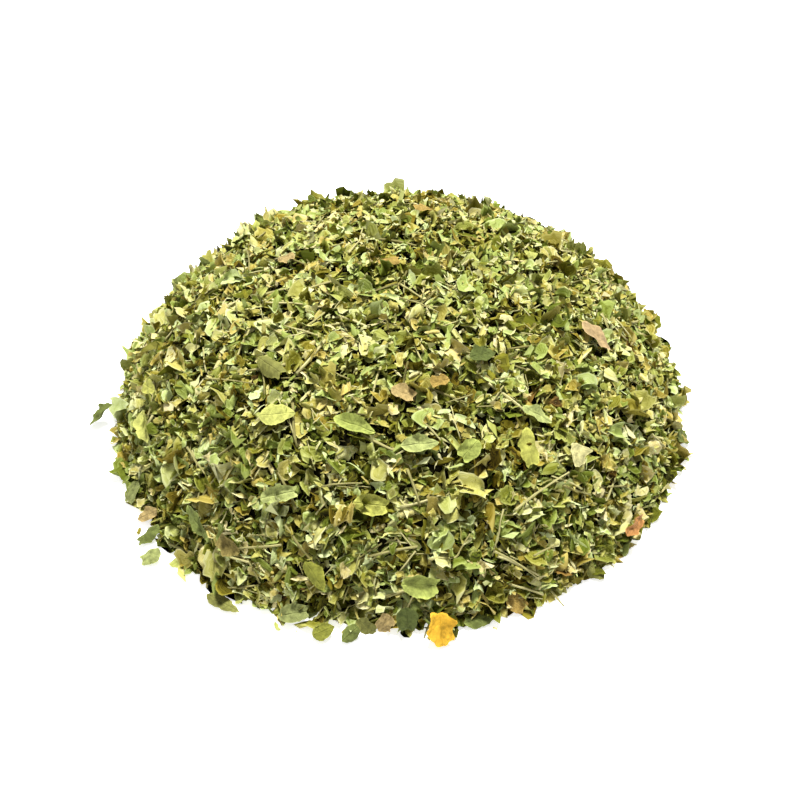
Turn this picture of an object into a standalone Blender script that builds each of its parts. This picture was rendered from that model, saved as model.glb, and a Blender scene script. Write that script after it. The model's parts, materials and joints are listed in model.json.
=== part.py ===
"""A heap of dried, cut moringa leaf, as it lies when a bag of it is tipped out on a table.

Metres, +Z up. The origin is the middle of the heap's flat base, on the table, and -Y is the side
that faces the viewer. Bearings are degrees in plan from +X, anticlockwise, so 270 is the front.

The heap is one interlocked mass: a packed inside, with leaf flakes standing out of it all over.
The whole leaflets, the discoloured bits and the stalks that lie loose on it, or round its foot,
are solids of their own, each let down until it rests on what is under it.
"""

import math
import random

import bmesh
import bpy
from mathutils import Matrix, Vector, noise
from mathutils.bvhtree import BVHTree

MM = 0.001
UP = Vector((0.0, 0.0, 1.0))
SEED = 61

# The mound: its foot, its crown, and the two powers that round its shoulder and steepen its flank
HEAP_RADIUS = 115 * MM
HEAP_HEIGHT = 53 * MM
SHOULDER_POWER = 3.0
FLANK_POWER = 0.86

# The packed inside, which the flakes stand out of. Its rings close up towards the foot.
CORE_DEPTH = 3.2 * MM
CORE_FOOT_INSET = 6.0 * MM
CORE_SIDES = 32
CORE_RINGS = 8
CORE_RING_POWER = 1.15
CORE_LUMP = 1.2 * MM
CORE_LUMP_SPACING = 17 * MM

# The flakes of the mass, larger than life so that few of them cover it: a share of them end in a
# whole point, a share are torn off aslant, and the rest are broad scraps
FLAKES = 206
FLAKE_LENGTH = (15.0 * MM, 20.0 * MM)
FLAKE_SLENDERNESS = (0.60, 0.78)
FLAKE_THICK = 0.8 * MM
FLAKE_FOLD = (0.12, 0.34)
FLAKE_DROOP = (-0.10, 0.14)
POINTED_SHARE = 0.50
ASLANT_SHARE = 0.38

# How the flakes stand: tip raised, rolled, and headed along a field that swirls over the mound
FLAKE_LIFT = (13.0, 23.0)
FLAKE_ROLL = 12.0
FLAKE_SINK = 2.4 * MM
FLAKE_ROOT_SHARE = 0.42
SWIRL = 5.0
SWIRL_SPACING = 45 * MM
SWIRL_JITTER = 0.45
GOLDEN_ANGLE = math.pi * (3 - math.sqrt(5))

# The flake that each loose piece rests on, almost level with the surface
BED_DEPTH = 1.2 * MM
BED_LIFT = 9.0
BED_TURN = (46.0, 138.0)

# The lowest ring of flakes, which lean on the table round the foot
FOOT_FLAKES = 40
FOOT_FAN = 40.0
FOOT_REACH = (-4.0 * MM, -0.5 * MM)
FOOT_RISE = (0.6 * MM, 3.0 * MM)
FOOT_TILT = (2.0, 22.0)
FOOT_CLEARING = 3.2
TABLE_GAP = 0.25 * MM

# The loose pieces, which start this far off and move in by small steps until they would touch
LEAF_THICK = 0.65 * MM
DROP_HEIGHT = 12 * MM
SLIDE_LENGTH = 30 * MM
STEP = 0.25 * MM
REST_GAP = 0.3 * MM
STALK_SIDES = 6
STALK_STATIONS = 7
STALK_TAPER = (1.10, 0.65)

COLOURS = {
    "leaf_green": (0.24, 0.27, 0.06),
    "leaf_dark": (0.10, 0.14, 0.035),
    "leaf_pale": (0.50, 0.52, 0.16),
    "leaf_brown": (0.34, 0.19, 0.08),
    "leaf_yellow": (0.68, 0.42, 0.06),
    "stalk": (0.45, 0.42, 0.20),
}
LEAF_ROUGHNESS = 0.75

# Outlines in plan, tip at +X: (share of length, share of width), round the edge from the root.
# A whole leaflet is an egg shape on a short stalk, the others are torn across, or are odd scraps.
WHOLE = ((0, 0), (0.10, 0.28), (0.34, 0.50), (0.62, 0.44), (0.86, 0.22), (1, 0),
         (0.86, -0.20), (0.62, -0.42), (0.34, -0.50), (0.10, -0.30))
TORN = ((0, 0), (0.12, 0.34), (0.42, 0.50), (0.76, 0.40), (1, 0.30), (0.88, 0),
        (0.98, -0.26), (0.70, -0.46), (0.36, -0.48), (0.08, -0.26))
SCRAP = ((0, 0.05), (0.14, 0.46), (0.40, 0.34), (0.66, 0.50), (0.92, 0.28), (1, -0.04),
         (0.80, -0.30), (0.62, -0.50), (0.30, -0.38), (0.06, -0.44))

# The leaves that lie on the heap: outline, mm from the middle, bearing, heading of the tip,
# length and width in mm, how far they arch up across (a share of the width), colour
LEAVES_ON_TOP = {
    "leaflet_pale_left": (WHOLE, 68, 234, 0, 13, 8, 0.16, "leaf_pale"),
    "leaflet_olive_left": (WHOLE, 100, 204, 272, 14, 7, 0.14, "leaf_pale"),
    "leaflet_small_left": (WHOLE, 94, 197, 325, 9, 6, 0.16, "leaf_pale"),
    "leaflet_folded_left": (TORN, 57, 220, 318, 12, 7, 0.38, "leaf_green"),
    "leaflet_rolled_front": (WHOLE, 63, 257, 338, 15, 6, 0.36, "leaf_pale"),
    "leaflet_rolled_centre": (WHOLE, 68, 276, 8, 13, 6, 0.34, "leaf_pale"),
    "leaflet_brown_right": (WHOLE, 73.5, 348.5, 326, 15, 7.5, 0.12, "leaf_brown"),
    "leaf_brown_centre": (TORN, 50, 272, 335, 9, 6, 0.22, "leaf_brown"),
    "leaf_brown_middle": (SCRAP, 48, 287, 15, 7, 5, 0.22, "leaf_brown"),
    "leaf_tan_upper_left": (SCRAP, 46, 157, 200, 7, 5, 0.25, "leaf_brown"),
    "leaf_tan_crown": (TORN, 13, 105, 20, 9, 5, 0.30, "leaf_brown"),
    "leaf_tan_back": (TORN, 53, 79, 120, 9, 7, 0.20, "leaf_brown"),
    "leaflet_yellow_green_right": (TORN, 78, 304, 288, 14, 7, 0.20, "leaf_pale"),
    "leaf_square_right": (SCRAP, 87, 313, 262, 8, 7.5, 0.15, "leaf_pale"),
    "leaf_pale_centre": (SCRAP, 42, 338, 250, 9, 7, 0.18, "leaf_pale"),
    "leaflet_green_middle": (WHOLE, 71, 311, 338, 12, 5, 0.30, "leaf_green"),
    "leaflet_green_front": (TORN, 72, 289, 230, 9, 7, 0.24, "leaf_green"),
    "leaflet_dark_centre": (WHOLE, 45, 310, 20, 10, 7, 0.22, "leaf_dark"),
    "leaflet_light_low_front": (TORN, 104, 274, 352, 13, 8, 0.24, "leaf_pale"),
    "leaflet_curled_low_left": (TORN, 88, 244, 12, 13, 6, 0.40, "leaf_green"),
    "leaf_yellow_green_front": (TORN, 85, 264, 350, 12, 7, 0.26, "leaf_pale"),
    "leaf_orange_low_right": (TORN, 110, 317, 35, 12, 5, 0.34, "leaf_yellow"),
    "leaf_round_back_right": (WHOLE, 58, 26, 5, 7, 5, 0.16, "leaf_pale"),
    "leaf_narrow_low_left": (WHOLE, 104, 230, 282, 15, 5, 0.30, "leaf_green"),
    "leaf_brown_low_left": (SCRAP, 104, 238, 300, 9, 7, 0.20, "leaf_brown"),
    "leaf_curved_low_front": (WHOLE, 104, 255, 285, 12, 6, 0.30, "leaf_green"),
    "leaf_brown_front_foot": (SCRAP, 110.8, 267.8, 250, 7, 6, 0.14, "leaf_brown"),
    "leaf_dark_front_foot": (TORN, 110.3, 271.5, 272, 9, 7.5, 0.16, "leaf_dark"),
    "leaf_round_front_foot": (SCRAP, 111.2, 265.0, 290, 7, 5.5, 0.16, "leaf_green"),
}

# The leaves that lie on the table against the heap's foot, in the same terms but for the
# distance, which the heap itself sets, with how far their inner edge is propped up in degrees
# and how far out from the heap they lie in mm
LEAVES_AT_FOOT = {
    "leaf_yellow_front": (SCRAP, 277, 262, 11.5, 10, 0.14, 42, 0, "leaf_yellow"),
    "leaflet_green_front_foot": (WHOLE, 284, 12, 11, 5.5, 0.14, 12, 0, "leaf_green"),
    "leaf_brown_right_foot": (TORN, 291, 330, 8, 6.5, 0.20, 38, 0, "leaf_brown"),
    "leaf_dusty_front_foot": (TORN, 252, 5, 11, 6.5, 0.14, 24, 0, "leaf_green"),
    "leaf_olive_low_front_foot": (WHOLE, 257.8, 20, 8, 6, 0.16, 24, 0, "leaf_green"),
    "leaf_green_low_front_foot": (WHOLE, 262.5, 40, 9, 5, 0.20, 36, 0, "leaf_green"),
    "leaf_outlying_left": (WHOLE, 240, 330, 14, 5, 0.20, 3, 2.5, "leaf_green"),
    "leaflet_dark_left_foot": (WHOLE, 190, 204, 13, 6, 0.20, 38, 0, "leaf_dark"),
    "leaf_dark_low_left_foot": (TORN, 210.5, 240, 9, 6.5, 0.20, 36, 2, "leaf_dark"),
    "leaf_tan_left_foot": (WHOLE, 216.5, 190, 9, 5.5, 0.16, 28, 0, "leaf_brown"),
    "leaf_green_left_foot": (TORN, 220.4, 214, 10, 5, 0.24, 22, 2, "leaf_green"),
    "leaf_pale_left_foot": (TORN, 224.2, 205, 8, 6, 0.18, 18, 3, "leaf_pale"),
    "leaf_green_right_foot": (TORN, 344, 20, 8, 6, 0.18, 44, 0, "leaf_green"),
    "leaf_green_low_right_foot": (SCRAP, 307, 320, 9, 5.5, 0.20, 24, 0, "leaf_green"),
    "leaf_brown_far_foot": (TORN, 62, 80, 9, 6, 0.16, 22, 0, "leaf_brown"),
    "leaflet_pale_far_foot": (WHOLE, 128, 110, 11, 6, 0.16, 22, 0, "leaf_pale"),
}

# The stalks: mm from the middle, bearing, heading, length, diameter and sideways bow in mm, and
# how far the outer half is turned aside in degrees where the stalk is bent or has snapped
STALKS = {
    "stalk_straight_right": (90, 302, 40, 24, 1.1, 0.5, 0),
    "stalk_long_front": (104, 292, 322, 19, 1.0, 0.6, 0),
    "stalk_bent_front": (99, 281, 2, 18, 1.0, 0.3, 58),
    "stalk_upper_left": (44, 180, 10, 16, 1.1, 0.5, 0),
    "stalk_kinked_back": (31, 118, 62, 18, 1.0, 0.4, 24),
    "stalk_back_left": (63, 158, 284, 17, 0.9, 0.6, 0),
    "stalk_crown": (6, 330, 316, 12, 1.0, 0.2, 0),
    "stalk_thin_left": (70, 213, 343, 21, 0.8, 0.4, 0),
    "stalk_back": (68, 62, 272, 14, 0.9, 0.4, 0),
    "stalk_pale_centre": (50, 352, 48, 11, 0.9, 0.3, 0),
    "stalk_low_left": (93, 222, 292, 13, 1.0, 0.5, 12),
    "stalk_low_right": (103, 298, 28, 10, 0.9, 0.3, 0),
}


def mound_height(radius):
    """Height of the heap's outer surface above the table at this distance from its middle."""
    share = min(radius / HEAP_RADIUS, 1.0)
    return HEAP_HEIGHT * (1 - share**SHOULDER_POWER) ** FLANK_POWER


def mound_point(radius, bearing):
    """A point on the heap's outer surface."""
    return Vector((radius * math.cos(bearing), radius * math.sin(bearing), mound_height(radius)))


def mound_normal(radius, bearing):
    """The outward direction there."""
    step = 0.2 * MM
    inner = max(radius - step, 0.0)
    drop = mound_height(inner) - mound_height(inner + step)
    slope = math.hypot(step, drop)
    across = drop / slope
    return Vector((across * math.cos(bearing), across * math.sin(bearing), step / slope))


def flake_radii():
    """Distances from the middle that share the mound's surface out evenly, one for each flake."""
    steps = 600
    radii = [HEAP_RADIUS * (step + 0.5) / steps for step in range(steps)]
    areas = [radius / mound_normal(radius, 0.0).z for radius in radii]
    each = sum(areas) / FLAKES
    found = []
    so_far = 0.0
    for radius, area in zip(radii, areas):
        so_far += area
        while len(found) < FLAKES and so_far >= (len(found) + 0.5) * each:
            found.append(radius)
    return found


def material(name):
    """A dull, dry surface in one of the heap's colours."""
    made = bpy.data.materials.get(name)
    if made is None:
        made = bpy.data.materials.new(name)
        made.use_nodes = True
        shader = made.node_tree.nodes["Principled BSDF"]
        shader.inputs["Base Color"].default_value = (*COLOURS[name], 1.0)
        shader.inputs["Roughness"].default_value = LEAF_ROUGHNESS
        shader.inputs["Metallic"].default_value = 0.0
    return made


def object_of(name, built, colour, collection=None):
    """Turns a bmesh into an object with its material, in the scene or in a given collection."""
    bmesh.ops.recalc_face_normals(built, faces=built.faces)
    mesh = bpy.data.meshes.new(name)
    built.to_mesh(mesh)
    built.free()
    mesh.materials.append(material(colour))
    made = bpy.data.objects.new(name, mesh)
    (collection or bpy.context.scene.collection).objects.link(made)
    return made


def plate(points, triangles, rim, thick):
    """A closed sheet of even thickness, whose two faces are split into the same triangles so that
    they never cross. The first points, as many as rim says, run round its edge in order."""
    built = bmesh.new()
    top = [built.verts.new((x, y, z + thick / 2)) for x, y, z in points]
    bottom = [built.verts.new((x, y, z - thick / 2)) for x, y, z in points]
    for triangle in triangles:
        built.faces.new([top[corner] for corner in triangle])
        built.faces.new([bottom[corner] for corner in triangle[::-1]])
    for index in range(rim):
        after = (index + 1) % rim
        built.faces.new((top[index], bottom[index], bottom[after]))
        built.faces.new((top[index], bottom[after], top[after]))
    return built


def leaf(outline, length, width, arch, droop=0.0):
    """A loose leaf, root at the origin, tip at +X, upper face at +Z. It arches up along its midrib
    by arch times its width, and its tip drops by droop times its length. Each edge fans in to
    the nearer of two points on the midrib."""
    ribs = ((0.34, 0.0), (0.66, 0.0))
    points = []
    for x, y in outline + ribs:
        fall = 2 * arch * width * y * y + droop * length * x * x
        points.append((x * length, y * width, -fall))
    count = len(outline)
    near_rib, far_rib = count, count + 1
    triangles = []
    fans = []
    for index in range(count):
        after = (index + 1) % count
        nearer_root = outline[index][0] + outline[after][0] < 1
        fans.append(near_rib if nearer_root else far_rib)
        triangles.append((index, after, fans[-1]))
    for index in range(count):
        if fans[index - 1] != fans[index]:
            triangles.append((index, fans[index], fans[index - 1]))
    return plate(points, triangles, count, LEAF_THICK)


def torn_flake(rng, length, width):
    """A torn flake for the mass, root at the origin, tip towards +X, upper face at +Z."""
    fold = rng.uniform(*FLAKE_FOLD) * width
    droop = rng.uniform(*FLAKE_DROOP) * length
    left = rng.uniform(0.42, 0.56) * width
    right = -rng.uniform(0.42, 0.56) * width
    kind = rng.random()
    if kind < POINTED_SHARE:
        points = [(0.0, 0.0, 0.0),
                  (rng.uniform(0.42, 0.68) * length, left, -fold),
                  (length, 0.0, -droop),
                  (rng.uniform(0.42, 0.68) * length, right, -fold)]
    elif kind < POINTED_SHARE + ASLANT_SHARE:
        points = [(0.0, 0.0, 0.0),
                  (rng.uniform(0.78, 1.0) * length, left, -fold),
                  (rng.uniform(0.78, 1.0) * length, right * 0.7, -droop),
                  (rng.uniform(0.30, 0.60) * length, right, -fold)]
    else:
        points = [(0.0, 0.0, 0.0),
                  (rng.uniform(0.30, 0.50) * length, left, -fold),
                  (rng.uniform(0.85, 1.0) * length, left * rng.uniform(0.2, 0.8), -droop),
                  (rng.uniform(0.75, 1.0) * length, right * rng.uniform(0.2, 0.8), -droop),
                  (rng.uniform(0.28, 0.50) * length, right, -fold)]
    triangles = [(0, corner + 1, corner) for corner in range(1, len(points) - 1)]
    return plate(points, triangles, len(points), FLAKE_THICK)


def lying(normal, heading, lift=0.0, roll=0.0):
    """The turn that lays +X along a heading in plan and +Z along a surface's normal, with the tip
    then raised by lift and the whole rolled about its midrib."""
    along = Vector((math.cos(heading), math.sin(heading), 0.0))
    along = (along - normal * along.dot(normal)).normalized()
    across = normal.cross(along)
    frame = Matrix((along, across, normal)).transposed().to_4x4()
    return frame @ Matrix.Rotation(-lift, 4, "Y") @ Matrix.Rotation(roll, 4, "X")


def core():
    """The packed inside: a turned mound with a flat base and low lumps."""
    built = bmesh.new()
    foot_scale = (HEAP_RADIUS - CORE_FOOT_INSET) / HEAP_RADIUS
    crown_scale = (HEAP_HEIGHT - CORE_DEPTH) / HEAP_HEIGHT
    rings = []
    for ring in range(CORE_RINGS):
        share = math.cos(0.5 * math.pi * (ring / CORE_RINGS) ** CORE_RING_POWER)
        points = []
        for side in range(CORE_SIDES):
            bearing = 2 * math.pi * (side + 0.5 * (ring % 2)) / CORE_SIDES
            place = mound_point(HEAP_RADIUS * share, bearing)
            place = Vector((place.x * foot_scale, place.y * foot_scale, place.z * crown_scale))
            if ring:
                lump = noise.noise(place / CORE_LUMP_SPACING) * CORE_LUMP
                place += mound_normal(HEAP_RADIUS * share, bearing) * lump
            points.append(built.verts.new(place))
        rings.append(points)
    for lower, upper in zip(rings, rings[1:]):
        for side in range(CORE_SIDES):
            after = (side + 1) % CORE_SIDES
            built.faces.new((lower[side], lower[after], upper[after]))
            built.faces.new((lower[side], upper[after], upper[side]))
    top = built.verts.new((0.0, 0.0, HEAP_HEIGHT * crown_scale))
    for side in range(CORE_SIDES):
        built.faces.new((rings[-1][side], rings[-1][(side + 1) % CORE_SIDES], top))
    built.faces.new(rings[0][::-1])
    return object_of("leaf_heap", built, "leaf_green")


def stand_out(rng, built, radius, bearing, length):
    """Roots a flake in the packed inside so that its tip stands out of the mass."""
    normal = mound_normal(radius, bearing)
    lift = math.radians(rng.uniform(*FLAKE_LIFT))
    roll = math.radians(rng.uniform(-FLAKE_ROLL, FLAKE_ROLL))
    place = mound_point(radius, bearing)
    swirl = noise.noise(place / SWIRL_SPACING) * SWIRL + rng.uniform(-SWIRL_JITTER, SWIRL_JITTER)
    turn = lying(normal, bearing + swirl, lift, roll)
    along = turn @ Vector((1.0, 0.0, 0.0))
    level = along - normal * along.dot(normal)
    root = place - normal * (CORE_DEPTH + FLAKE_SINK)
    built.transform(Matrix.Translation(root - level * length * FLAKE_ROOT_SHARE) @ turn)


def lie_under(built, radius, bearing, heading, length):
    """Lays a flake of the mass where a loose piece rests on it."""
    turn = lying(mound_normal(radius, bearing), heading, math.radians(BED_LIFT))
    middle = mound_point(radius, bearing) - mound_normal(radius, bearing) * BED_DEPTH
    along = turn @ Vector((1.0, 0.0, 0.0))
    built.transform(Matrix.Translation(middle - along * length / 2) @ turn)


def lean_at_foot(rng, built, bearing, length):
    """Leans a flake of the lowest ring on the foot, its outer end at the ragged edge."""
    heading = bearing + math.radians(rng.uniform(-FOOT_FAN, FOOT_FAN))
    tilt = math.radians(rng.uniform(*FOOT_TILT))
    reach = Vector((math.cos(heading), math.sin(heading), 0.0)) * length * math.cos(tilt)
    tip = Vector((math.cos(bearing), math.sin(bearing), 0.0))
    tip *= HEAP_RADIUS + rng.uniform(*FOOT_REACH)
    tip.z = rng.uniform(*FOOT_RISE) + length * math.sin(tilt)
    roll = math.radians(rng.uniform(-FLAKE_ROLL, FLAKE_ROLL))
    turn = lying(UP, heading, -tilt, roll)
    built.transform(Matrix.Translation(tip - reach) @ turn)


def clear_of_foot_leaves(bearing):
    """Whether a bearing leaves room at the foot for the separate leaves that lie there."""
    for spec in LEAVES_AT_FOOT.values():
        apart = (math.degrees(bearing) - spec[1] + 180) % 360 - 180
        if abs(apart) < FOOT_CLEARING:
            return False
    return True


def set_with_flakes(name, built, flakes):
    """Lifts a flake clear of the table and puts it with those that will be joined to the mass."""
    lowest = min(vertex.co.z for vertex in built.verts)
    if lowest < TABLE_GAP:
        built.transform(Matrix.Translation((0.0, 0.0, TABLE_GAP - lowest)))
    object_of(name, built, "leaf_green", flakes)


def keep_largest_shell(mesh):
    """Fills any hollow that the union sealed and drops any flake that it left loose: each is a
    shell of its own, and only the mass's outer shell stays."""
    edited = bmesh.new()
    edited.from_mesh(mesh)
    unseen = set(edited.faces)
    shells = []
    while unseen:
        waiting = [unseen.pop()]
        shell = []
        while waiting:
            face = waiting.pop()
            shell.append(face)
            for edge in face.edges:
                for other in edge.link_faces:
                    if other in unseen:
                        unseen.discard(other)
                        waiting.append(other)
        shells.append(shell)
    shells.sort(key=len)
    for shell in shells[:-1]:
        bmesh.ops.delete(edited, geom=shell, context="FACES")
    edited.to_mesh(mesh)
    edited.free()


def join(body, collection):
    """Makes one solid of a body and every object of a collection, and removes the collection."""
    union = body.modifiers.new("union", "BOOLEAN")
    union.operation = "UNION"
    union.operand_type = "COLLECTION"
    union.collection = collection
    union.solver = "MANIFOLD"
    graph = bpy.context.evaluated_depsgraph_get()
    joined = bpy.data.meshes.new_from_object(body.evaluated_get(graph))
    body.modifiers.clear()
    keep_largest_shell(joined)
    body.data = joined
    for piece in list(collection.objects):
        bpy.data.objects.remove(piece)
    bpy.data.collections.remove(collection)


def heap():
    """The whole mass: the packed inside with its flakes joined to it."""
    rng = random.Random(SEED)
    body = core()
    flakes = bpy.data.collections.new("flakes")
    for index, radius in enumerate(flake_radii()):
        bearing = index * GOLDEN_ANGLE + rng.uniform(-0.06, 0.06)
        length = rng.uniform(*FLAKE_LENGTH)
        built = torn_flake(rng, length, length * rng.uniform(*FLAKE_SLENDERNESS))
        stand_out(rng, built, radius, bearing, length)
        set_with_flakes(f"flake.{index:03d}", built, flakes)
    beds = [spec[1:4] for spec in LEAVES_ON_TOP.values()]
    beds += [spec[0:3] for spec in STALKS.values()]
    for index, (radius, bearing, heading) in enumerate(beds):
        length = rng.uniform(*FLAKE_LENGTH)
        built = torn_flake(rng, length, length * rng.uniform(*FLAKE_SLENDERNESS))
        heading = math.radians(heading + rng.uniform(*BED_TURN))
        lie_under(built, radius * MM, math.radians(bearing), heading, length)
        set_with_flakes(f"bed_flake.{index:03d}", built, flakes)
    for index in range(FOOT_FLAKES):
        bearing = 2 * math.pi * (index + rng.uniform(0.2, 0.8)) / FOOT_FLAKES
        length = rng.uniform(*FLAKE_LENGTH)
        built = torn_flake(rng, length, length * rng.uniform(*FLAKE_SLENDERNESS))
        lean_at_foot(rng, built, bearing, length)
        if clear_of_foot_leaves(bearing):
            set_with_flakes(f"foot_flake.{index:03d}", built, flakes)
        else:
            built.free()
    join(body, flakes)
    return body


def search_tree(placed):
    """What is already in place, as one tree to test a falling piece against."""
    points = []
    faces = []
    for piece in placed:
        start = len(points)
        points += [vertex.co.copy() for vertex in piece.data.vertices]
        faces += [[start + corner for corner in face.vertices] for face in piece.data.polygons]
    return BVHTree.FromPolygons(points, faces)


def move_in(built, direction, travel, gap, placed):
    """Moves a piece along a direction until it would touch what is in place, and stops it by a
    gap short of that. It starts clear of everything."""
    in_place = search_tree(placed)
    for _ in range(int(travel / STEP)):
        built.transform(Matrix.Translation(direction * STEP))
        if BVHTree.FromBMesh(built).overlap(in_place):
            built.transform(Matrix.Translation(-direction * (STEP + gap)))
            return


def lay_on_heap(built, radius, bearing, heading, placed):
    """Lets a piece down on the heap's outer surface, square to it."""
    bearing = math.radians(bearing)
    normal = mound_normal(radius * MM, bearing)
    start = mound_point(radius * MM, bearing) + normal * DROP_HEIGHT
    built.transform(Matrix.Translation(start) @ lying(normal, math.radians(heading)))
    move_in(built, -normal, 2 * DROP_HEIGHT, REST_GAP, placed)


def leaf_on_top(name, spec, placed):
    """A leaf that lies on the heap's outer surface."""
    outline, radius, bearing, heading, length, width, arch, colour = spec
    built = leaf(outline, length * MM, width * MM, arch, arch * 0.3)
    built.transform(Matrix.Translation((-length * MM / 2, 0.0, 0.0)))
    lay_on_heap(built, radius, bearing, heading, placed)
    return object_of(name, built, colour)


def leaf_at_foot(name, spec, placed):
    """A leaf on the table, slid in towards the heap's foot, its inner edge propped up."""
    outline, bearing, heading, length, width, arch, prop, outlying, colour = spec
    built = leaf(outline, length * MM, width * MM, arch)
    outward = Vector((math.cos(math.radians(bearing)), math.sin(math.radians(bearing)), 0.0))
    hinge = Matrix.Rotation(math.radians(prop), 4, UP.cross(outward))
    middle = Matrix.Translation((-length * MM / 2, 0.0, 0.0))
    start = Matrix.Translation(outward * (HEAP_RADIUS + SLIDE_LENGTH))
    built.transform(start @ hinge @ lying(UP, math.radians(heading)) @ middle)
    lowest = min(vertex.co.z for vertex in built.verts)
    built.transform(Matrix.Translation((0.0, 0.0, TABLE_GAP - lowest)))
    move_in(built, -outward, 2 * SLIDE_LENGTH, REST_GAP + outlying * MM, placed)
    return object_of(name, built, colour)


def stalk(name, spec, placed):
    """A bit of leaf stalk: a slim tapering rod, bowed or bent, that lies on the heap."""
    radius, bearing, heading, length, diameter, bow, bend = spec
    bend = math.radians(bend)
    built = bmesh.new()
    rings = []
    for station in range(STALK_STATIONS):
        share = station / (STALK_STATIONS - 1)
        along = (share - 0.5) * length * MM
        x = along
        y = bow * MM * (1 - (2 * share - 1) ** 2)
        if along > 0:
            x = along * math.cos(bend)
            y += along * math.sin(bend)
        taper = STALK_TAPER[0] + share * (STALK_TAPER[1] - STALK_TAPER[0])
        thick = diameter * MM / 2 * taper
        ring = []
        for side in range(STALK_SIDES):
            angle = 2 * math.pi * side / STALK_SIDES
            ring.append(built.verts.new((x, y + thick * math.cos(angle), thick * math.sin(angle))))
        rings.append(ring)
    for near, far in zip(rings, rings[1:]):
        for side in range(STALK_SIDES):
            after = (side + 1) % STALK_SIDES
            built.faces.new((near[side], near[after], far[after]))
            built.faces.new((near[side], far[after], far[side]))
    built.faces.new(rings[0])
    built.faces.new(rings[-1][::-1])
    lay_on_heap(built, radius, bearing, heading, placed)
    return object_of(name, built, "stalk")


def main():
    for old in list(bpy.data.objects):
        bpy.data.objects.remove(old)
    placed = [heap()]
    for name, spec in LEAVES_AT_FOOT.items():
        placed.append(leaf_at_foot(name, spec, placed))
    for name, spec in LEAVES_ON_TOP.items():
        placed.append(leaf_on_top(name, spec, placed))
    for name, spec in STALKS.items():
        placed.append(stalk(name, spec, placed))


main()
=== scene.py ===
import json
import math
import random

import bmesh
import bpy
import numpy as np
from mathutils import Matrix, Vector
from mathutils.geometry import delaunay_2d_cdt

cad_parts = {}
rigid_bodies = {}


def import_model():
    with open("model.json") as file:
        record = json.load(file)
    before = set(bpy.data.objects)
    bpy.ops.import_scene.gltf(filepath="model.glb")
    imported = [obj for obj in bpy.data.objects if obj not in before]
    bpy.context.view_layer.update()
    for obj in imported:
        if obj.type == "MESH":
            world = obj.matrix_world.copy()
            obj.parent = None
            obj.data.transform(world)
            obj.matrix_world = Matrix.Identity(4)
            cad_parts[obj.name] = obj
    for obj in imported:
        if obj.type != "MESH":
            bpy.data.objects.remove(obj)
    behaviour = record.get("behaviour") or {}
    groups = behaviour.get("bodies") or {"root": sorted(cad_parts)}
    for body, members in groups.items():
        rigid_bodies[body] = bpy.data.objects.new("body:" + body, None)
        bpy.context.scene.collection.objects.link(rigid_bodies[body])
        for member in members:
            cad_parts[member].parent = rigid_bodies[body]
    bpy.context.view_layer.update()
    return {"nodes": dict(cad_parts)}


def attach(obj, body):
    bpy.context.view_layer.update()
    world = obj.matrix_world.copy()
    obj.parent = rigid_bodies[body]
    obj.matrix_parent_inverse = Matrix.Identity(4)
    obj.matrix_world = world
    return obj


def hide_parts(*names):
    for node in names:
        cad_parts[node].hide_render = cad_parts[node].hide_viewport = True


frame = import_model()
scene = bpy.context.scene

# The view. The heap is looked down on from 47 degrees above its front, a little off the
# picture's middle, with a lens that takes in 45 degrees.
VIEW_ELEVATION = math.radians(47)
VIEW_DISTANCE = 0.3933
LENS_MM = 43.46
SENSOR_MM = 36
NEAREST_SEEN = 0.01
PICTURE_PX = 800
HEAP_LEFT_PX = 2.0
HEAP_HIGH_PX = 15.5

camera = bpy.data.objects.new("camera", bpy.data.cameras.new("camera"))
camera.data.sensor_width = SENSOR_MM
camera.data.lens = LENS_MM
camera.data.clip_start = NEAREST_SEEN
camera.data.shift_x = HEAP_LEFT_PX / PICTURE_PX
camera.data.shift_y = -HEAP_HIGH_PX / PICTURE_PX
camera.location = (0.0, -VIEW_DISTANCE * math.cos(VIEW_ELEVATION),
                   VIEW_DISTANCE * math.sin(VIEW_ELEVATION))
camera.rotation_euler = (math.pi / 2 - VIEW_ELEVATION, 0.0, 0.0)
scene.collection.objects.link(camera)
scene.camera = camera
scene.view_settings.view_transform = "Standard"
scene.view_settings.look = "None"


# The light and the table. A soft light hangs over the heap and a little behind it, so that each
# flake's near edge is in shade, and a white room fills in. The table is a plain white
# board that glows a little, so that it stays white.
KEY_FROM = (0.12, 0.22, 0.97)
KEY_SIZE = 0.20
KEY_WATTS = 22.0
FILL_FROM = (-0.5, -0.35, 0.75)
FILL_SIZE = 0.8
FILL_WATTS = 1.8
ROOM_LIGHT = 0.275
TABLE_SIZE = 6.0
TABLE_DROP = 0.0002
TABLE_COLOUR = (0.93, 0.93, 0.93, 1.0)
TABLE_ROUGHNESS = 0.9
TABLE_GLOW = 0.64
WHITE = (1.0, 1.0, 1.0, 1.0)


def soft_light(name, place, size, watts):
    """A square soft light, turned to face the middle of the heap."""
    light = bpy.data.objects.new(name, bpy.data.lights.new(name, "AREA"))
    light.data.size = size
    light.data.energy = watts
    light.location = place
    light.rotation_euler = (-Vector(place)).to_track_quat("-Z", "Y").to_euler()
    scene.collection.objects.link(light)


soft_light("key_light", KEY_FROM, KEY_SIZE, KEY_WATTS)
soft_light("fill_light", FILL_FROM, FILL_SIZE, FILL_WATTS)

room = bpy.data.worlds.new("white_room")
room.use_nodes = True
room.node_tree.nodes["Background"].inputs["Color"].default_value = WHITE
room.node_tree.nodes["Background"].inputs["Strength"].default_value = ROOM_LIGHT
scene.world = room

table_material = bpy.data.materials.new("white_table")
table_material.use_nodes = True
table_shader = table_material.node_tree.nodes["Principled BSDF"]
table_shader.inputs["Base Color"].default_value = TABLE_COLOUR
table_shader.inputs["Roughness"].default_value = TABLE_ROUGHNESS
table_shader.inputs["Emission Color"].default_value = WHITE
table_shader.inputs["Emission Strength"].default_value = TABLE_GLOW

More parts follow.
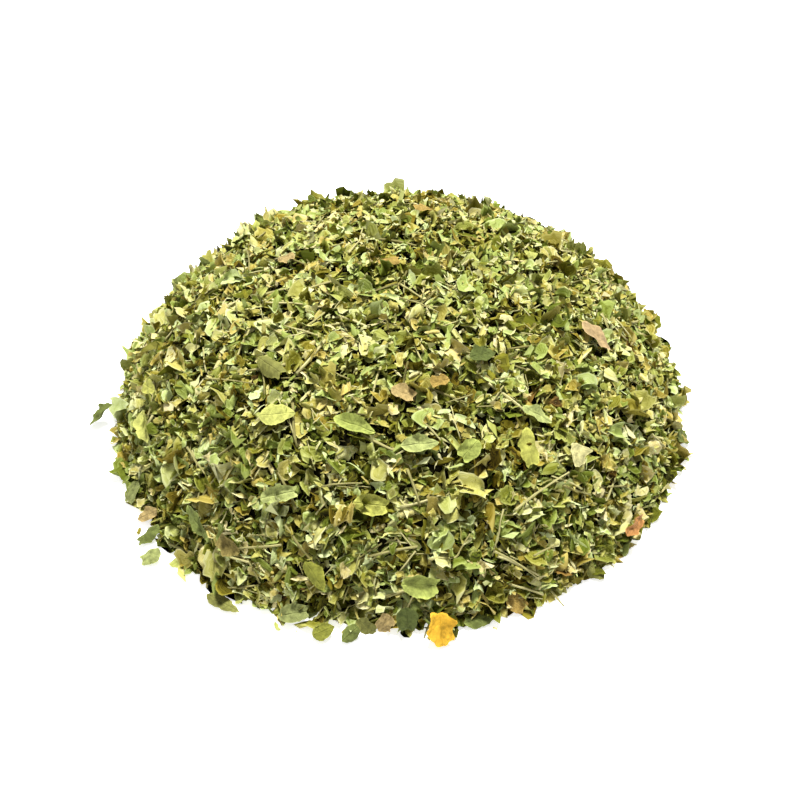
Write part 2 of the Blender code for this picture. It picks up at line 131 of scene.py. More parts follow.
bpy.ops.mesh.primitive_plane_add(size=TABLE_SIZE, location=(0.0, 0.0, -TABLE_DROP))
table = bpy.context.object
table.name = "table"
table.data.materials.append(table_material)


# The imported inside: leaf crushed too close to tell apart, which shows only as dark gaps between
# the flakes. Its near-black colour is painted shade, the shade deep in those gaps. It is a low
# mound with a flat base, and lies some way in from the heap's surface.
HEAP_RADIUS = 0.115
HEAP_HEIGHT = 0.053
SHOULDER_POWER = 3.0
FLANK_POWER = 0.86
INSIDE_DEPTH = 0.0045
INSIDE_FOOT = 0.0075
PLAN_BULGES = ((268, 14, -0.022), (40, 30, 0.015), (168, 25, -0.012))
MOUND_SIDES = 96
MOUND_RINGS = 40
INSIDE_GRAIN = 420.0
INSIDE_BUMP = 0.001
INSIDE_PAINTED_SHADE_TONES = ((0.0, (0.026, 0.023, 0.005)), (1.0, (0.004, 0.003, 0.001)))
LEAF_SHEEN = 0.08


def mound_height(radius):
    """Height of the heap's surface above the table at this distance from its middle."""
    share = min(radius / HEAP_RADIUS, 1.0)
    return HEAP_HEIGHT * (1 - share**SHOULDER_POWER) ** FLANK_POWER


def reach_on_side(bearing):
    """How far the heap spreads on this side against its mean: it was poured a little unevenly."""
    share = 1.0
    for towards, width, size in PLAN_BULGES:
        away = (math.degrees(bearing) - towards + 180) % 360 - 180
        share += size * math.exp(-(away / width) ** 2)
    return share


def as_object(built, name, collection):
    """What has been built so far, as an object in a collection."""
    mesh = bpy.data.meshes.new(name)
    built.to_mesh(mesh)
    built.free()
    made = bpy.data.objects.new(name, mesh)
    collection.objects.link(made)
    return made


def mound(name, depth, foot, with_base):
    """A round mound that lies inside the heap's surface by depth at its crown and by foot at its
    edge, as a closed solid or as an open surface to strew flakes on."""
    built = bmesh.new()
    rings = []
    for ring in range(MOUND_RINGS):
        share = math.sin(0.5 * math.pi * (1 - ring / MOUND_RINGS))
        radius = (HEAP_RADIUS - foot) * share
        height = mound_height(HEAP_RADIUS * share) * (HEAP_HEIGHT - depth) / HEAP_HEIGHT
        points = []
        for side in range(MOUND_SIDES):
            bearing = 2 * math.pi * side / MOUND_SIDES
            out = radius * reach_on_side(bearing)
            points.append(built.verts.new((out * math.cos(bearing), out * math.sin(bearing),
                                           height)))
        rings.append(points)
    for lower, upper in zip(rings, rings[1:]):
        for side in range(MOUND_SIDES):
            after = (side + 1) % MOUND_SIDES
            built.faces.new((lower[side], lower[after], upper[after], upper[side]))
    top = built.verts.new((0.0, 0.0, HEAP_HEIGHT - depth))
    for side in range(MOUND_SIDES):
        built.faces.new((rings[-1][side], rings[-1][(side + 1) % MOUND_SIDES], top))
    if with_base:
        built.faces.new(rings[0][::-1])
    return as_object(built, name, scene.collection)


def new_material(name, roughness):
    """A material with its shader, ready for nodes."""
    made = bpy.data.materials.new(name)
    made.use_nodes = True
    shader = made.node_tree.nodes["Principled BSDF"]
    shader.inputs["Roughness"].default_value = roughness
    shader.inputs["Specular IOR Level"].default_value = LEAF_SHEEN
    return made, made.node_tree, shader


def output_of(value):
    """A node's first output in use. Anything else is passed on as it is."""
    if isinstance(value, bpy.types.Node):
        return next(output for output in value.outputs if output.enabled)
    return value


def add(tree, kind, values=None, **settings):
    """Adds a node with its settings, and sets its inputs, by name or by number, to values or to
    what other nodes give."""
    made = tree.nodes.new(kind)
    for name, value in settings.items():
        setattr(made, name, value)
    for key, value in (values or {}).items():
        if isinstance(key, int):
            socket = made.inputs[key]
        else:
            socket = next(s for s in made.inputs if s.name == key and s.enabled)
        value = output_of(value)
        if isinstance(value, bpy.types.NodeSocket):
            tree.links.new(value, socket)
        else:
            socket.default_value = value
    return made


def calculate(operation, *terms, clamp=False):
    """A sum on up to three terms, of which one at least is a node or its output."""
    tree = next(term.id_data for term in terms if isinstance(term, bpy.types.bpy_struct))
    return add(tree, "ShaderNodeMath", dict(enumerate(terms)), operation=operation,
               use_clamp=clamp)


def ramp(factor, stops, constant=False):
    """A colour ramp with these stops."""
    made = add(factor.id_data, "ShaderNodeValToRGB", {"Fac": factor})
    elements = made.color_ramp.elements
    if constant:
        made.color_ramp.interpolation = "CONSTANT"
    while len(elements) < len(stops):
        elements.new(0.5)
    for element, (place, colour) in zip(elements, stops):
        element.position = place
        element.color = (*colour, 1.0)
    return made


def finish_surface(shader, colour, height, depth, strength=1.0):
    """Gives a shader its colour and a bump of this depth."""
    tree = shader.id_data
    bump = add(tree, "ShaderNodeBump", {"Height": height, "Distance": depth,
                                        "Strength": strength})
    tree.links.new(output_of(colour), shader.inputs["Base Color"])
    tree.links.new(bump.outputs["Normal"], shader.inputs["Normal"])


# The inside is coloured near black: painted shade of the deep gaps between the flakes.
inside_material, tree, shader = new_material("packed_leaf", 0.9)
coordinates = add(tree, "ShaderNodeTexCoord")
crumbs = add(tree, "ShaderNodeTexVoronoi",
             {"Vector": coordinates.outputs["Object"], "Scale": INSIDE_GRAIN})
distance = crumbs.outputs["Distance"]
finish_surface(shader, ramp(distance, INSIDE_PAINTED_SHADE_TONES), distance, INSIDE_BUMP)

inside = mound("packed_inside", INSIDE_DEPTH, INSIDE_FOOT, True)
inside.data.shade_smooth()
inside.data.materials.append(inside_material)
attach(inside, "root")
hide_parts("leaf_heap")


# The flakes of the heap are bits of dried leaflet, torn across, folded along the midrib and
# curled as they dried. A few dozen shapes of each sort are cut here, each from a whole leaflet's
# outline, as thin closed sheets one unit long, and are strewn by the thousand further down.
# Their UV map keeps each bit's place on the leaflet, so that its veins run the right way.
LEAFLET_POINTS = 9
LEAFLET_HALF_WIDTH = 0.29
LEAFLET_TAPER = 0.92
LEAFLET_ROUNDNESS = 0.72
TILE_MARGIN = 0.04
SHEET_MAP = "OFBake"
CURL_STEPS = 6
EDGE_PIECES = 3
RAGGEDNESS = 0.28
UNEVENNESS = 0.25
SHEET_RIM = 0.25
EDGE_MARGIN = 0.10
TORN_SHARE = (0.42, 0.78)
FLAKE_TWIST = 0.9
ROLL_STARTS = (0.02, 0.25)
ROLL_ENDS = (0.75, 0.98)
ROLL_WRAPS = (1.6, 3.8)
ROLL_BOW = 0.5
ROLL_LEAN = 0.25
STRIP_HALF_WIDTHS = (0.05, 0.11)
STRIP_BEND = (0.6, 3.0)
STRIP_RIM = 6.0
STRIP_FOLD = (0.2, 1.0)
STRIP_TWIST = 1.2
STRIP_CRUMPLE = 0.015


def leaflet_edge(points=LEAFLET_POINTS, half_width=LEAFLET_HALF_WIDTH):
    """The outline of a whole leaflet one unit long, with its midrib on y = 0."""
    side = []
    for index in range(1, points):
        x = 0.5 * (1 - math.cos(math.pi * index / points))
        side.append((x, half_width * math.sin(math.pi * x**LEAFLET_TAPER) ** LEAFLET_ROUNDNESS))
    return [(0.0, 0.0)] + [(x, -y) for x, y in side] + [(1.0, 0.0)] + side[::-1]


def extents(outline):
    """The least and the greatest x and y of an outline."""
    xs = [x for x, y in outline]
    ys = [y for x, y in outline]
    return min(xs), max(xs), min(ys), max(ys)


def longer_side(outline):
    """The longer side of the box round an outline."""
    left, right, low, high = extents(outline)
    return max(right - left, high - low)


def torn_off(outline, direction, share):
    """What is left of an outline when the part of it furthest along a direction is torn off."""
    across = (math.cos(direction), math.sin(direction))
    reach = [x * across[0] + y * across[1] for x, y in outline]
    limit = min(reach) + share * (max(reach) - min(reach))
    kept = []
    for index, point in enumerate(outline):
        before, here = reach[index - 1], reach[index]
        if (before <= limit) != (here <= limit):
            part = (limit - before) / (here - before)
            last = outline[index - 1]
            kept.append(tuple(a + part * (b - a) for a, b in zip(last, point)))
        if here <= limit:
            kept.append(point)
    return kept


def loosened(outline, rng, closest, longest):
    """The outline with points that nearly meet left out and its long edges made ragged."""
    spaced = []
    for point in outline:
        if not spaced or math.dist(point, spaced[-1]) > closest:
            spaced.append(point)
    if math.dist(spaced[0], spaced[-1]) < closest:
        spaced.pop()
    ragged = []
    for index, point in enumerate(spaced):
        after = spaced[(index + 1) % len(spaced)]
        ragged.append(point)
        length = math.dist(point, after)
        pieces = min(EDGE_PIECES, math.ceil(length / longest))
        for piece in range(1, pieces):
            part = (piece + rng.uniform(-UNEVENNESS, UNEVENNESS)) / pieces
            out = rng.uniform(-RAGGEDNESS, RAGGEDNESS)
            ragged.append((point[0] + part * (after[0] - point[0]) + out * (after[1] - point[1]),
                           point[1] + part * (after[1] - point[1]) - out * (after[0] - point[0])))
    return ragged


def inside_points(outline, rng, spacing, margin):
    """Points within an outline, a row of them on the midrib and others loosely in rows beside
    it, none of them too near the edge."""
    left, right, low, high = extents(outline)
    found = []
    rows = math.ceil(max(abs(low), abs(high)) / spacing)
    for row in range(-rows, rows + 1):
        x = left + spacing * (0.5 if row % 2 else 0.25)
        while x < right:
            point = (x + rng.uniform(-0.1, 0.1) * spacing, row * spacing)
            if is_within(point, outline, margin):
                found.append(point)
            x += spacing
    return found


def edge_distance(point, outline):
    """How far a point is from the nearest part of an outline."""
    nearest = 1e9
    for index, (bx, by) in enumerate(outline):
        ax, ay = outline[index - 1]
        along = Vector((bx - ax, by - ay))
        offset = Vector((point[0] - ax, point[1] - ay))
        part = max(0.0, min(1.0, offset.dot(along) / max(along.length_squared, 1e-9)))
        nearest = min(nearest, (offset - part * along).length)
    return nearest


def is_within(point, outline, margin):
    """Whether a point is inside an outline and clear of its edge by a margin."""
    crossings = 0
    for index, (bx, by) in enumerate(outline):
        ax, ay = outline[index - 1]
        if (ay > point[1]) != (by > point[1]):
            crossings += point[0] < ax + (point[1] - ay) * (bx - ax) / (by - ay)
    return crossings % 2 == 1 and edge_distance(point, outline) > margin


def on_leaflet(x, y, depth):
    """Where a point of a leaf lies on its sheet: along the leaflet and across it."""
    span = 1 - 2 * TILE_MARGIN
    return TILE_MARGIN + span * x, 0.5 + span * y


def from_edge(x, y, depth):
    """Where a point of a small bit lies on its sheet: in from its torn edge, and across the
    leaflet that it was part of."""
    span = 1 - 2 * TILE_MARGIN
    return TILE_MARGIN + span * depth, 0.5 + span * 1.4 * y


def thin_sheet(name, outline, inner, shape, thick, collection, sheet_place):
    """A thin closed sheet over an outline, sharp at its edge and as thick as it says within.
    shape gives the place in space of each point of the flat leaflet."""
    count = len(outline)
    flat = [Vector(point) for point in outline + inner]
    loop = list(range(count))
    cut = delaunay_2d_cdt(flat, [], [loop], 1, 1e-6)
    corners, triangles, sources = cut[0], cut[2], cut[3]
    built = bmesh.new()
    sheet_map = built.loops.layers.uv.new(SHEET_MAP)
    places = [Vector(shape(x, y)) for x, y in corners]
    slack = 1e-4
    normals = []
    for x, y in corners:
        middle = Vector(shape(x, y))
        along = Vector(shape(x + slack, y)) - middle
        across = Vector(shape(x, y + slack)) - middle
        normals.append(along.cross(across).normalized())
    on_rim = [any(source < count for source in found) for found in sources]
    rim_width = SHEET_RIM * longer_side(outline)
    depths = [0.0 if rim else min(1.0, edge_distance(corner, outline) / rim_width)
              for corner, rim in zip(corners, on_rim)]
    upper = []
    lower = []
    for place, normal, rim in zip(places, normals, on_rim):
        upper.append(built.verts.new(place if rim else place + normal * thick / 2))
        lower.append(upper[-1] if rim else built.verts.new(place - normal * thick / 2))
    for triangle in triangles:
        for side, order in ((upper, triangle), (lower, triangle[::-1])):
            try:
                face = built.faces.new([side[corner] for corner in order])
            except ValueError:
                continue
            for loop_corner, corner in zip(face.loops, order):
                loop_corner[sheet_map].uv = sheet_place(*corners[corner], depths[corner])
    for edge in built.edges:
        rim_edge = all(vertex in upper and vertex in lower for vertex in edge.verts)
        edge.smooth = not rim_edge
    for face in built.faces:
        face.smooth = True
    return as_object(built, name, collection)


def curled(outline, rng, bend, rim, fold, twist, crumple):
    """How a bit of leaf lies in space: one unit long about its own middle, bent round a line at
    some slant and more so towards its rim, folded along its midrib, twisted, and crumpled."""
    left, right, low, high = extents(outline)
    middle = ((left + right) / 2, (low + high) / 2)
    scale = 1 / longer_side(outline)
    slant = rng.uniform(0, math.pi)
    bend = rng.choice((-1, 1)) * rng.uniform(*bend)
    rim = rng.uniform(-rim, rim)
    fold = rng.choice((-1, 1)) * rng.uniform(*fold)
    twist = rng.uniform(-twist, twist)
    waves = [(rng.uniform(5, 12), rng.uniform(5, 12), rng.uniform(0, 6.28)) for _ in range(3)]

    def shape(x, y):
        side = (x - middle[0]) * scale, (y - middle[1]) * scale
        lift = fold * (abs(y) - abs(middle[1])) * scale + twist * side[0] * side[1]
        for across, along, start in waves:
            lift += crumple * math.sin(across * side[0] + along * side[1] + start)
        over = side[0] * math.cos(slant) + side[1] * math.sin(slant)
        beside = -side[0] * math.sin(slant) + side[1] * math.cos(slant)
        arc = rise = 0.0
        for step in range(CURL_STEPS):
            far = over * (step + 0.5) / CURL_STEPS
            arc += math.cos(bend * far + rim * far**3) * over / CURL_STEPS
            rise += math.sin(bend * far + rim * far**3) * over / CURL_STEPS
        turn = bend * over + rim * over**3
        arc -= lift * math.sin(turn)
        rise += lift * math.cos(turn)
        return (arc * math.cos(slant) - beside * math.sin(slant),
                arc * math.sin(slant) + beside * math.cos(slant), rise)

    return shape


def cut_flakes(name, rng, shapes, cuts, points, edges, spacing, thick, bend, rim, fold, crumple):
    """A collection of torn bits, each one unit long, to strew from. edges is how close its
    outline's points may be and how far apart."""
    collection = bpy.data.collections.new(name)
    for index in range(shapes):
        outline = leaflet_edge(points)
        for _ in range(rng.randint(*cuts)):
            outline = torn_off(outline, rng.uniform(0, 2 * math.pi), rng.uniform(*TORN_SHARE))
        extent = longer_side(outline)
        outline = loosened(outline, rng, edges[0] * extent, edges[1] * extent)
        inner = inside_points(outline, rng, spacing * extent, EDGE_MARGIN * extent)
        shape = curled(outline, rng, bend, rim, fold, FLAKE_TWIST, crumple)
        thin_sheet(f"{name}.{index:02d}", outline, inner, shape, thick, collection, from_edge)
    return collection


def cut_rolls(name, rng, shapes, stations, sides, thick):
    """A collection of bits that dried into a roll, as half a tube or more, one unit long."""
    collection = bpy.data.collections.new(name)
    for index in range(shapes):
        half = rng.uniform(0.20, LEAFLET_HALF_WIDTH)
        start, end = rng.uniform(*ROLL_STARTS), rng.uniform(*ROLL_ENDS)
        outline = []
        for station in range(stations):
            x = start + (end - start) * station / (stations - 1)
            outline.append((x, half * math.sin(math.pi * x) ** LEAFLET_ROUNDNESS))
        wrap = rng.uniform(*ROLL_WRAPS)
        bow = rng.uniform(-ROLL_BOW, ROLL_BOW)
        lean = rng.uniform(-ROLL_LEAN, ROLL_LEAN)
        loop = [(x, -y) for x, y in outline] + [(x, y) for x, y in outline[::-1]]
        inner = []
        for x, wide in outline[1:-1]:
            for side in range(1, sides):
                inner.append((x, wide * (2 * side / sides - 1)))
        tight = half / wrap * 2

        def shape(x, y, start=start, end=end, tight=tight, bow=bow, lean=lean):
            along = (x - start) / (end - start) - 0.5
            turn = y / tight + lean * along * 2
            radius = tight * (1 - 0.10 * turn / math.pi)
            return (along, radius * math.sin(turn) + bow * (along * along - 0.12) * 0.5,
                    tight * 0.9 - radius * math.cos(turn))

        thin_sheet(f"{name}.{index:02d}", loop, inner, shape, thick, collection, from_edge)
    return collection


def cut_strips(name, rng, shapes, stations, thick):
    """A collection of narrow curled strips, such as a leaflet's torn-off edge."""
    collection = bpy.data.collections.new(name)
    for index in range(shapes):
        half = rng.uniform(*STRIP_HALF_WIDTHS)
        side = []
        for station in range(1, stations):
            side.append((station / stations, half * rng.uniform(0.6, 1.2)))
        outline = [(0.0, 0.0)] + [(x, -y) for x, y in side] + [(1.0, 0.0)]
        outline += [(x, y * rng.uniform(0.5, 1.2)) for x, y in side[::-1]]
        inner = [(x, 0.0) for x, y in side]
        shape = curled(outline, rng, STRIP_BEND, STRIP_RIM, STRIP_FOLD, STRIP_TWIST,
                       STRIP_CRUMPLE)
        thin_sheet(f"{name}.{index:02d}", outline, inner, shape, thick, collection, from_edge)
    return collection


cutter = random.Random(11)
# name, how many shapes, cuts, points of the outline, how close and how far apart they may be,
# spacing within, thickness, bend, bend of the rim, fold, crumple
FLAKE_SORTS = (
    ("coarse", 24, (1, 3), 9, (0.11, 0.30), 0.30, 0.022, (0.3, 3.0), 4.0, (0.0, 1.4), 0.04),
    ("crumb", 30, (2, 4), 7, (0.16, 0.34), 0.34, 0.030, (0.4, 3.2), 6.0, (0.0, 1.6), 0.04),
    ("flake", 48, (1, 3), 11, (0.07, 0.18), 0.20, 0.020, (0.8, 4.2), 12.0, (0.0, 1.9), 0.05),
    ("leaflet", 28, (1, 2), 12, (0.06, 0.14), 0.14, 0.014, (0.5, 2.8), 10.0, (0.2, 1.6), 0.055),
)
coarse_shapes, crumb_shapes, flake_shapes, leaflet_shapes = [
    cut_flakes(name, cutter, *values) for name, *values in FLAKE_SORTS]
roll_shapes = cut_rolls("roll", cutter, shapes=14, stations=6, sides=6, thick=0.014)
strip_shapes = cut_strips("strip", cutter, shapes=16, stations=5, thick=0.014)


# The colour of dried leaf. Every flake takes its colour from one small tile of a sheet of
# swatches, laid out by tone one way and by hue the other: most are olive, some greener, some
# straw, and a few went brown. The edge of a flake is paler, as a painted highlight, and its
# midrib shows.
TILES = 24
BROWN_SHARE = 0.003
VARIETIES = 40.0
GRAIN_TONE = 0.70
BLOTCH_TONE = 0.55
EDGE_PAINTED_HIGHLIGHT = 0.26
EDGE_HIGHLIGHT_WIDTH = 0.28
RIB_PALER = 0.10
RIB_WIDTH = 0.05
LEAF_RIB_WIDTH = 0.022
SIDE_VEINS = 9.0
SIDE_VEIN_SLANT = 0.8
SIDE_VEIN_WIDTH = 0.085
SIDE_VEIN_STRENGTH = 0.45
VEIN_DEPTH = 0.8
GREEN = ((0.0, (0.009, 0.010, 0.0004)), (0.30, (0.120, 0.146, 0.012)),
         (0.65, (0.325, 0.382, 0.099)), (1.0, (0.530, 0.585, 0.280)))
OLIVE = ((0.0, (0.011, 0.009, 0.0004)), (0.30, (0.170, 0.161, 0.012)),
         (0.65, (0.420, 0.403, 0.104)), (1.0, (0.595, 0.580, 0.290)))
STRAW = ((0.0, (0.015, 0.010, 0.0005)), (0.30, (0.212, 0.160, 0.013)),
         (0.65, (0.490, 0.402, 0.106)), (1.0, (0.650, 0.580, 0.305)))
BROWN = ((0.0, (0.022, 0.011, 0.002)), (0.30, (0.170, 0.100, 0.020)),
         (0.65, (0.430, 0.265, 0.080)), (1.0, (0.660, 0.490, 0.260)))


def mix(factor, first, second):
    """A colour mixed from two: sockets 6 and 7 of the node take them, and socket 2 gives it."""
    return add(factor.id_data, "ShaderNodeMix", {"Factor": factor, 6: first, 7: second},
               data_type="RGBA").outputs[2]


def on_vector(operation, vector, other=None):
    """A sum on a vector, with another vector or with the number that scales it."""
    values = {0: vector}
    if other is not None:
        values["Scale" if operation == "SCALE" else 1] = other
    return add(vector.id_data, "ShaderNodeVectorMath", values, operation=operation)


def parts_of(vector):
    """The outputs X, Y and Z of a vector."""
    return add(vector.id_data, "ShaderNodeSeparateXYZ", {"Vector": vector}).outputs


def noise(vector, variety, scale, detail, roughness):
    """A noise over a place, another one for each variety."""
    return add(vector.id_data, "ShaderNodeTexNoise",
               {"Vector": vector, "W": variety, "Scale": scale, "Detail": detail,
                "Roughness": roughness}, noise_dimensions="4D")


def ridge(distance, width):
    """One on a line, and nothing from this width away."""
    return calculate("SUBTRACT", 1.0, calculate("DIVIDE", distance, width), clamp=True)


def leaf_veins():
    """Group: from a place on a leaflet, how strongly the veins show there, a blotchiness, and
    the height of the surface, with the midrib sunk and the side veins slanting off it."""
    group = bpy.data.node_groups.new("leaf_veins", "ShaderNodeTree")
    face = group.interface
    face.new_socket("Place", in_out="INPUT", socket_type="NodeSocketVector")
    face.new_socket("Variety", in_out="INPUT", socket_type="NodeSocketFloat")
    for name in ("Veins", "Blotches", "Height"):
        face.new_socket(name, in_out="OUTPUT", socket_type="NodeSocketFloat")
    given = group.nodes.new("NodeGroupInput").outputs
    parts = parts_of(given["Place"])
    off = calculate("ABSOLUTE", calculate("SUBTRACT", parts["Y"], 0.5))
    slant = calculate("SUBTRACT", parts["X"], calculate("MULTIPLY", off, SIDE_VEIN_SLANT))
    saw = calculate("PINGPONG", calculate("MULTIPLY", slant, SIDE_VEINS), 0.5)
    side_veins = calculate("MULTIPLY", ridge(saw, SIDE_VEIN_WIDTH), SIDE_VEIN_STRENGTH)
    veins = calculate("MAXIMUM", ridge(off, LEAF_RIB_WIDTH), side_veins)
    blotches = noise(given["Place"], given["Variety"], 6.0, 4.0, 0.65)
    grain = noise(given["Place"], given["Variety"], 30.0, 3.0, 0.7)
    height = calculate("SUBTRACT", grain, calculate("MULTIPLY", veins, VEIN_DEPTH))
    add(group, "NodeGroupOutput", {"Veins": veins, "Blotches": blotches, "Height": height})
    return group


veins_group = leaf_veins()
flake_material, tree, shader = new_material("dried_flakes", 0.7)
sheet = add(tree, "ShaderNodeUVMap", uv_map=SHEET_MAP)
on_tiles = on_vector("MULTIPLY", sheet, (TILES, TILES, 1.0))
tile = on_vector("FLOOR", on_tiles)
within = on_vector("FRACTION", on_tiles)
chance = add(tree, "ShaderNodeTexWhiteNoise", {"Vector": tile}, noise_dimensions="3D")
chance = chance.outputs["Value"]
tile_at, place = parts_of(tile), parts_of(within)
variety = calculate("MULTIPLY", chance, VARIETIES)
blotches = noise(within, variety, 4.0, 5.0, 0.72)
grain = noise(within, variety, 13.0, 2.0, 0.6)
off = calculate("ABSOLUTE", calculate("SUBTRACT", place["Y"], 0.5))
tone = calculate("DIVIDE", tile_at["X"], TILES - 1)
for texture, reach in ((grain, GRAIN_TONE), (blotches, BLOTCH_TONE)):
    tone = calculate("ADD", tone, calculate("MULTIPLY_ADD", texture, reach, -reach / 2))
# A paler band along each flake's edge: a painted highlight.
tone = calculate("MULTIPLY_ADD", ridge(place["X"], EDGE_HIGHLIGHT_WIDTH), EDGE_PAINTED_HIGHLIGHT, tone)
tone = calculate("MULTIPLY_ADD", ridge(off, RIB_WIDTH), RIB_PALER, tone, clamp=True)
hue = calculate("DIVIDE", tile_at["Y"], TILES - 1)
colour = ramp(tone, GREEN)
for first, last, stops in ((0.22, 0.45, OLIVE), (0.68, 0.85, STRAW)):
    share = ramp(hue, ((0.0, (0, 0, 0)), (first, (0.5,) * 3), (last, (1, 1, 1))), True)
    colour = mix(share, colour, ramp(tone, stops))
to_brown = calculate("GREATER_THAN", chance, 1 - BROWN_SHARE)
colour = mix(to_brown, colour, ramp(tone, BROWN))
finish_surface(shader, colour, calculate("ADD", blotches, grain), 0.0003, 0.9)


# The heap itself. Flakes of every size lie over one another in layers, mostly along the heap's
# surface but tipped every way, and flat where they meet the table. Each layer is strewn over a
# mound of its own depth and becomes one piece. The deeper layers are given darker tones, as
# painted shade.
TIP_POWER = 1.5
TIP_ON_TABLE = 0.25
SIZE_POWER = 1.4
DRIFT_SCALE = 45.0
TABLE_CLEAR = 0.00015
TABLE_EASE = 0.0012
RING_HEIGHT = 0.0007
RING_WAVE = 0.0025
FOOT_CLEAR = 0.0013
FOOT_SCATTER = 0.0005
STREWING_INPUTS = {
    "Geometry": ("Geometry",), "Collection": ("Bits",), "Material": ("Finish",),
    "Object": ("Loose Leaves",),
    "Float": ("Density", "Smallest", "Largest", "Most Tip", "Most Level", "Scatter Height",
              "Clear", "Flat Below", "Darkest", "Palest", "Tone Drift", "Greenest", "Straw"),
    "Int": ("Seed",),
}


def strewing_tree():
    """Strews bits from a collection over a surface, and gives each its tile of the sheet."""
    made = bpy.data.node_groups.new("strewn_flakes", "GeometryNodeTree")
    made.is_modifier = True
    for kind, names in STREWING_INPUTS.items():
        for name in names:
            made.interface.new_socket(name, in_out="INPUT", socket_type="NodeSocket" + kind)
    made.interface.new_socket("Geometry", in_out="OUTPUT", socket_type="NodeSocketGeometry")
    given = made.nodes.new("NodeGroupInput").outputs

    def chance(low, high, salt, kind="FLOAT"):
        seed = add(made, "FunctionNodeIntegerMath", {0: given["Seed"], 1: salt}, operation="ADD")
        return add(made, "FunctionNodeRandomValue", {"Min": low, "Max": high, "Seed": seed},
                   data_type=kind)

    def between(share, low, high):
        return calculate("MULTIPLY_ADD", share, calculate("SUBTRACT", high, low), low)

    def rotated(rotation, axis, angle):
        turn = add(made, "FunctionNodeAxisAngleToRotation", {"Axis": axis, "Angle": angle})
        return add(made, "FunctionNodeRotateRotation", {"Rotation": rotation, "Rotate By": turn},
                   rotation_space="LOCAL")

    strewn = add(made, "GeometryNodeDistributePointsOnFaces",
                 {"Mesh": given["Geometry"], "Density": given["Density"], "Seed": given["Seed"]})
    place = add(made, "GeometryNodeInputPosition")
    off_table = calculate("DIVIDE", parts_of(place)["Z"], given["Flat Below"], clamp=True)
    level = calculate("MULTIPLY", chance(0.0, 1.0, 9), given["Most Level"])
    sloped = calculate("MULTIPLY", off_table, calculate("SUBTRACT", 1.0, level))
    facing = add(made, "ShaderNodeMix",
                 {"Factor": sloped, 4: (0.0, 0.0, 1.0), 5: strewn.outputs["Normal"]},
                 data_type="VECTOR").outputs[1]
    lying = add(made, "FunctionNodeAlignRotationToVector", {"Vector": facing}, axis="Z")
    spun = rotated(lying, (0.0, 0.0, 1.0), chance(0.0, 2 * math.pi, 1))
    tip = calculate("POWER", chance(0.0, 1.0, 2), TIP_POWER)
    tip = calculate("MULTIPLY", tip, given["Most Tip"])
    tip = calculate("MULTIPLY", tip, calculate("MULTIPLY_ADD", off_table, 1 - TIP_ON_TABLE,
                                               TIP_ON_TABLE))
    over = calculate("MULTIPLY", calculate("GREATER_THAN", chance(0.0, 1.0, 3), 0.5), math.pi)
    turned = rotated(spun, (1.0, 0.0, 0.0), calculate("ADD", tip, over))
    size = between(calculate("POWER", chance(0.0, 1.0, 4), SIZE_POWER), given["Smallest"],
                   given["Largest"])
    rise = calculate("MULTIPLY", chance(-1.0, 1.0, 5), given["Scatter Height"])
    raised = on_vector("SCALE", strewn.outputs["Normal"], rise)
    leaves = add(made, "GeometryNodeObjectInfo", {"Object": given["Loose Leaves"]})
    gap = add(made, "GeometryNodeProximity", {0: leaves.outputs["Geometry"]},
              target_element="FACES")
    covering = calculate("LESS_THAN", gap.outputs["Distance"], given["Clear"])
    free = add(made, "GeometryNodeDeleteGeometry",
               {"Geometry": strewn.outputs["Points"], "Selection": covering}, domain="POINT")
    points = add(made, "GeometryNodeSetPosition", {"Geometry": free, "Offset": raised})
    bits = add(made, "GeometryNodeCollectionInfo",
               {"Collection": given["Bits"], "Separate Children": True, "Reset Children": True})
    laid = add(made, "GeometryNodeInstanceOnPoints",
               {"Points": points, "Instance": bits, "Pick Instance": True,
                "Instance Index": chance(0, 999, 6, "INT"), "Rotation": turned, "Scale": size})

    drift = add(made, "ShaderNodeTexNoise",
                {"Vector": place, "Scale": DRIFT_SCALE, "Detail": 1.0})
    drift = calculate("MULTIPLY_ADD", drift, 2.0, -1.0)
    # Each layer's range of tones. The deeper layers and the foot get darker ones, as painted
    # shade.
    tone = between(chance(0.0, 1.0, 7), given["Darkest"], given["Palest"])
    tone = calculate("MULTIPLY_ADD", drift, given["Tone Drift"], tone, clamp=True)
    hue = between(chance(0.0, 1.0, 8), given["Greenest"], given["Straw"])
    column, row = [calculate("FLOOR", calculate("MULTIPLY", share, TILES - 0.01))
                   for share in (tone, hue)]
    tile = add(made, "ShaderNodeCombineXYZ", {"X": column, "Y": row})
    noted = add(made, "GeometryNodeStoreNamedAttribute",
                {"Geometry": laid, "Name": "tile", "Value": tile},
                data_type="FLOAT_VECTOR", domain="INSTANCE")
    real = add(made, "GeometryNodeRealizeInstances", {"Geometry": noted})
    own, kept = [add(made, "GeometryNodeInputNamedAttribute", {"Name": name},
                     data_type="FLOAT_VECTOR") for name in (SHEET_MAP, "tile")]
    shrunk = on_vector("SCALE", on_vector("ADD", own, kept), 1 / TILES)
    mapped = add(made, "GeometryNodeStoreNamedAttribute",
                 {"Geometry": real, "Name": SHEET_MAP, "Value": shrunk},
                 data_type="FLOAT2", domain="CORNER")
    bare = add(made, "GeometryNodeRemoveAttribute", {"Geometry": mapped, "Name": "tile"})
    spot = parts_of(add(made, "GeometryNodeInputPosition"))
    eased = calculate("SMOOTH_MAX", spot["Z"], TABLE_CLEAR, TABLE_EASE)
    settled = add(made, "ShaderNodeCombineXYZ", {"X": spot["X"], "Y": spot["Y"], "Z": eased})
    grounded = add(made, "GeometryNodeSetPosition", {"Geometry": bare, "Position": settled})
    finished = add(made, "GeometryNodeSetMaterial",
                   {"Geometry": grounded, "Material": given["Finish"]})
    add(made, "NodeGroupOutput", {0: finished})
    return made


strewing = strewing_tree()
# All the loose leaves as one object, which only holds the flakes back from them. It goes again
# once everything is strewn.
built = bmesh.new()
for node, solid in frame["nodes"].items():
    if node.startswith("leaf") and node != "leaf_heap":
        built.from_mesh(solid.data)
loose_leaves = as_object(built, "loose_leaves", scene.collection)
scene.collection.objects.unlink(loose_leaves)


